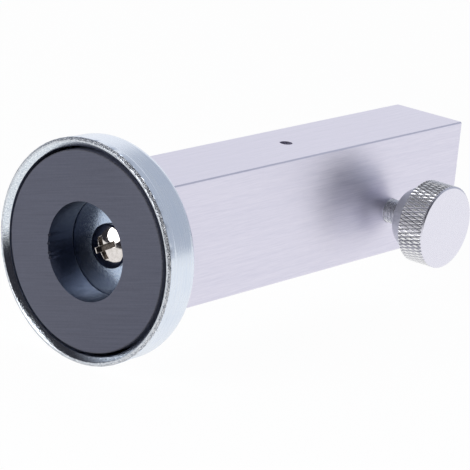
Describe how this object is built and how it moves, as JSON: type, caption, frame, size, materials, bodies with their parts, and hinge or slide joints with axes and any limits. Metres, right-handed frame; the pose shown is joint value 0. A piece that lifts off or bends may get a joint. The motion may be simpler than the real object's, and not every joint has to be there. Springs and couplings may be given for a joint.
{
  "type": "camber caster gauge",
  "caption": "Magnetic wheel alignment gauge: a brushed bar with a pot magnet on one end, spirit vials in its reading face and a knurled thumb screw that tilts the caster vial to zero.",
  "frame": {"origin": "centre of the magnet pot's working face, on the bar's axis", "axes": "+X along the bar away from the magnet, -Y out of the thumb screw's side, +Y out of the reading face (which looks up in use), +Z out of the side with the pivot pin's hole"},
  "size_m": [0.1245, 0.0516, 0.05],
  "materials": {
    "brushed_aluminium": "brushed along the bar",
    "zinc_plated_steel": "pressed, blue-bright zinc plate",
    "hard_ferrite": "ground flat, dark grey",
    "epoxy": "dark adhesive",
    "nickel_plated_steel": "bright nickel plate",
    "black_anodised_aluminium": "black anodised, engraved scale",
    "blackened_steel": "blackened",
    "ground_steel": "ground",
    "spring_steel": "drawn wire",
    "brass": "turned",
    "knurled_steel": "turned, satin nickel, diamond knurl on the rim",
    "black_acetal": "moulded",
    "clear_acrylic": "clear, polished",
    "vial_fluid": "yellow-green fluid with a bubble",
    "white_nylon": "moulded"
  },
  "bodies": {
    "housing": {"body": "brushed_aluminium", "magnet_cup": "zinc_plated_steel", "magnet_ring": "hard_ferrite", "magnet_adhesive": "epoxy", "magnet_screw": "nickel_plated_steel", "scale_plate": "black_anodised_aluminium", "scale_plate_screws": "blackened_steel", "cradle_pivot_pin": "ground_steel", "cradle_spring": "spring_steel", "camber_left_vial": "clear_acrylic", "camber_left_vial_fluid": "vial_fluid", "camber_left_vial_plug": "white_nylon", "camber_right_vial": "clear_acrylic", "camber_right_vial_fluid": "vial_fluid", "camber_right_vial_plug": "white_nylon", "level_vial": "clear_acrylic", "level_vial_fluid": "vial_fluid", "level_vial_plug": "white_nylon"},
    "tip_pad": {"adjuster_tip": "brass"},
    "thumb_screw": {"adjuster_knob": "knurled_steel", "adjuster_screw": "knurled_steel"},
    "caster_unit": {"caster_cradle": "black_acetal", "caster_vial": "clear_acrylic", "caster_vial_fluid": "vial_fluid", "caster_vial_plug": "white_nylon"}
  },
  "joints": [
    {"name": "adjuster_advance", "type": "slide", "parent": "housing", "child": "tip_pad", "axis": [0, 1, 0], "range_m": [-0.00125, 0.00125]},
    {"name": "knob_turn", "type": "hinge", "parent": "tip_pad", "child": "thumb_screw", "pos_m": [0.098, -0.02, -0.0039], "axis": [0, 1, 0], "range_deg": [-450, 450]},
    {"name": "caster_tilt", "type": "hinge", "parent": "housing", "child": "caster_unit", "pos_m": [0.0682, 0.0006, 0], "axis": [0, 0, 1], "range_deg": [-2.41, 2.41], "deforming": ["cradle_spring"]}
  ],
  "couplings": [
    {"joint": "knob_turn", "follows": "adjuster_advance", "rad_per_m": 6283.2},
    {"joint": "caster_tilt", "follows": "adjuster_advance", "rad_per_m": 33.537}
  ]
}
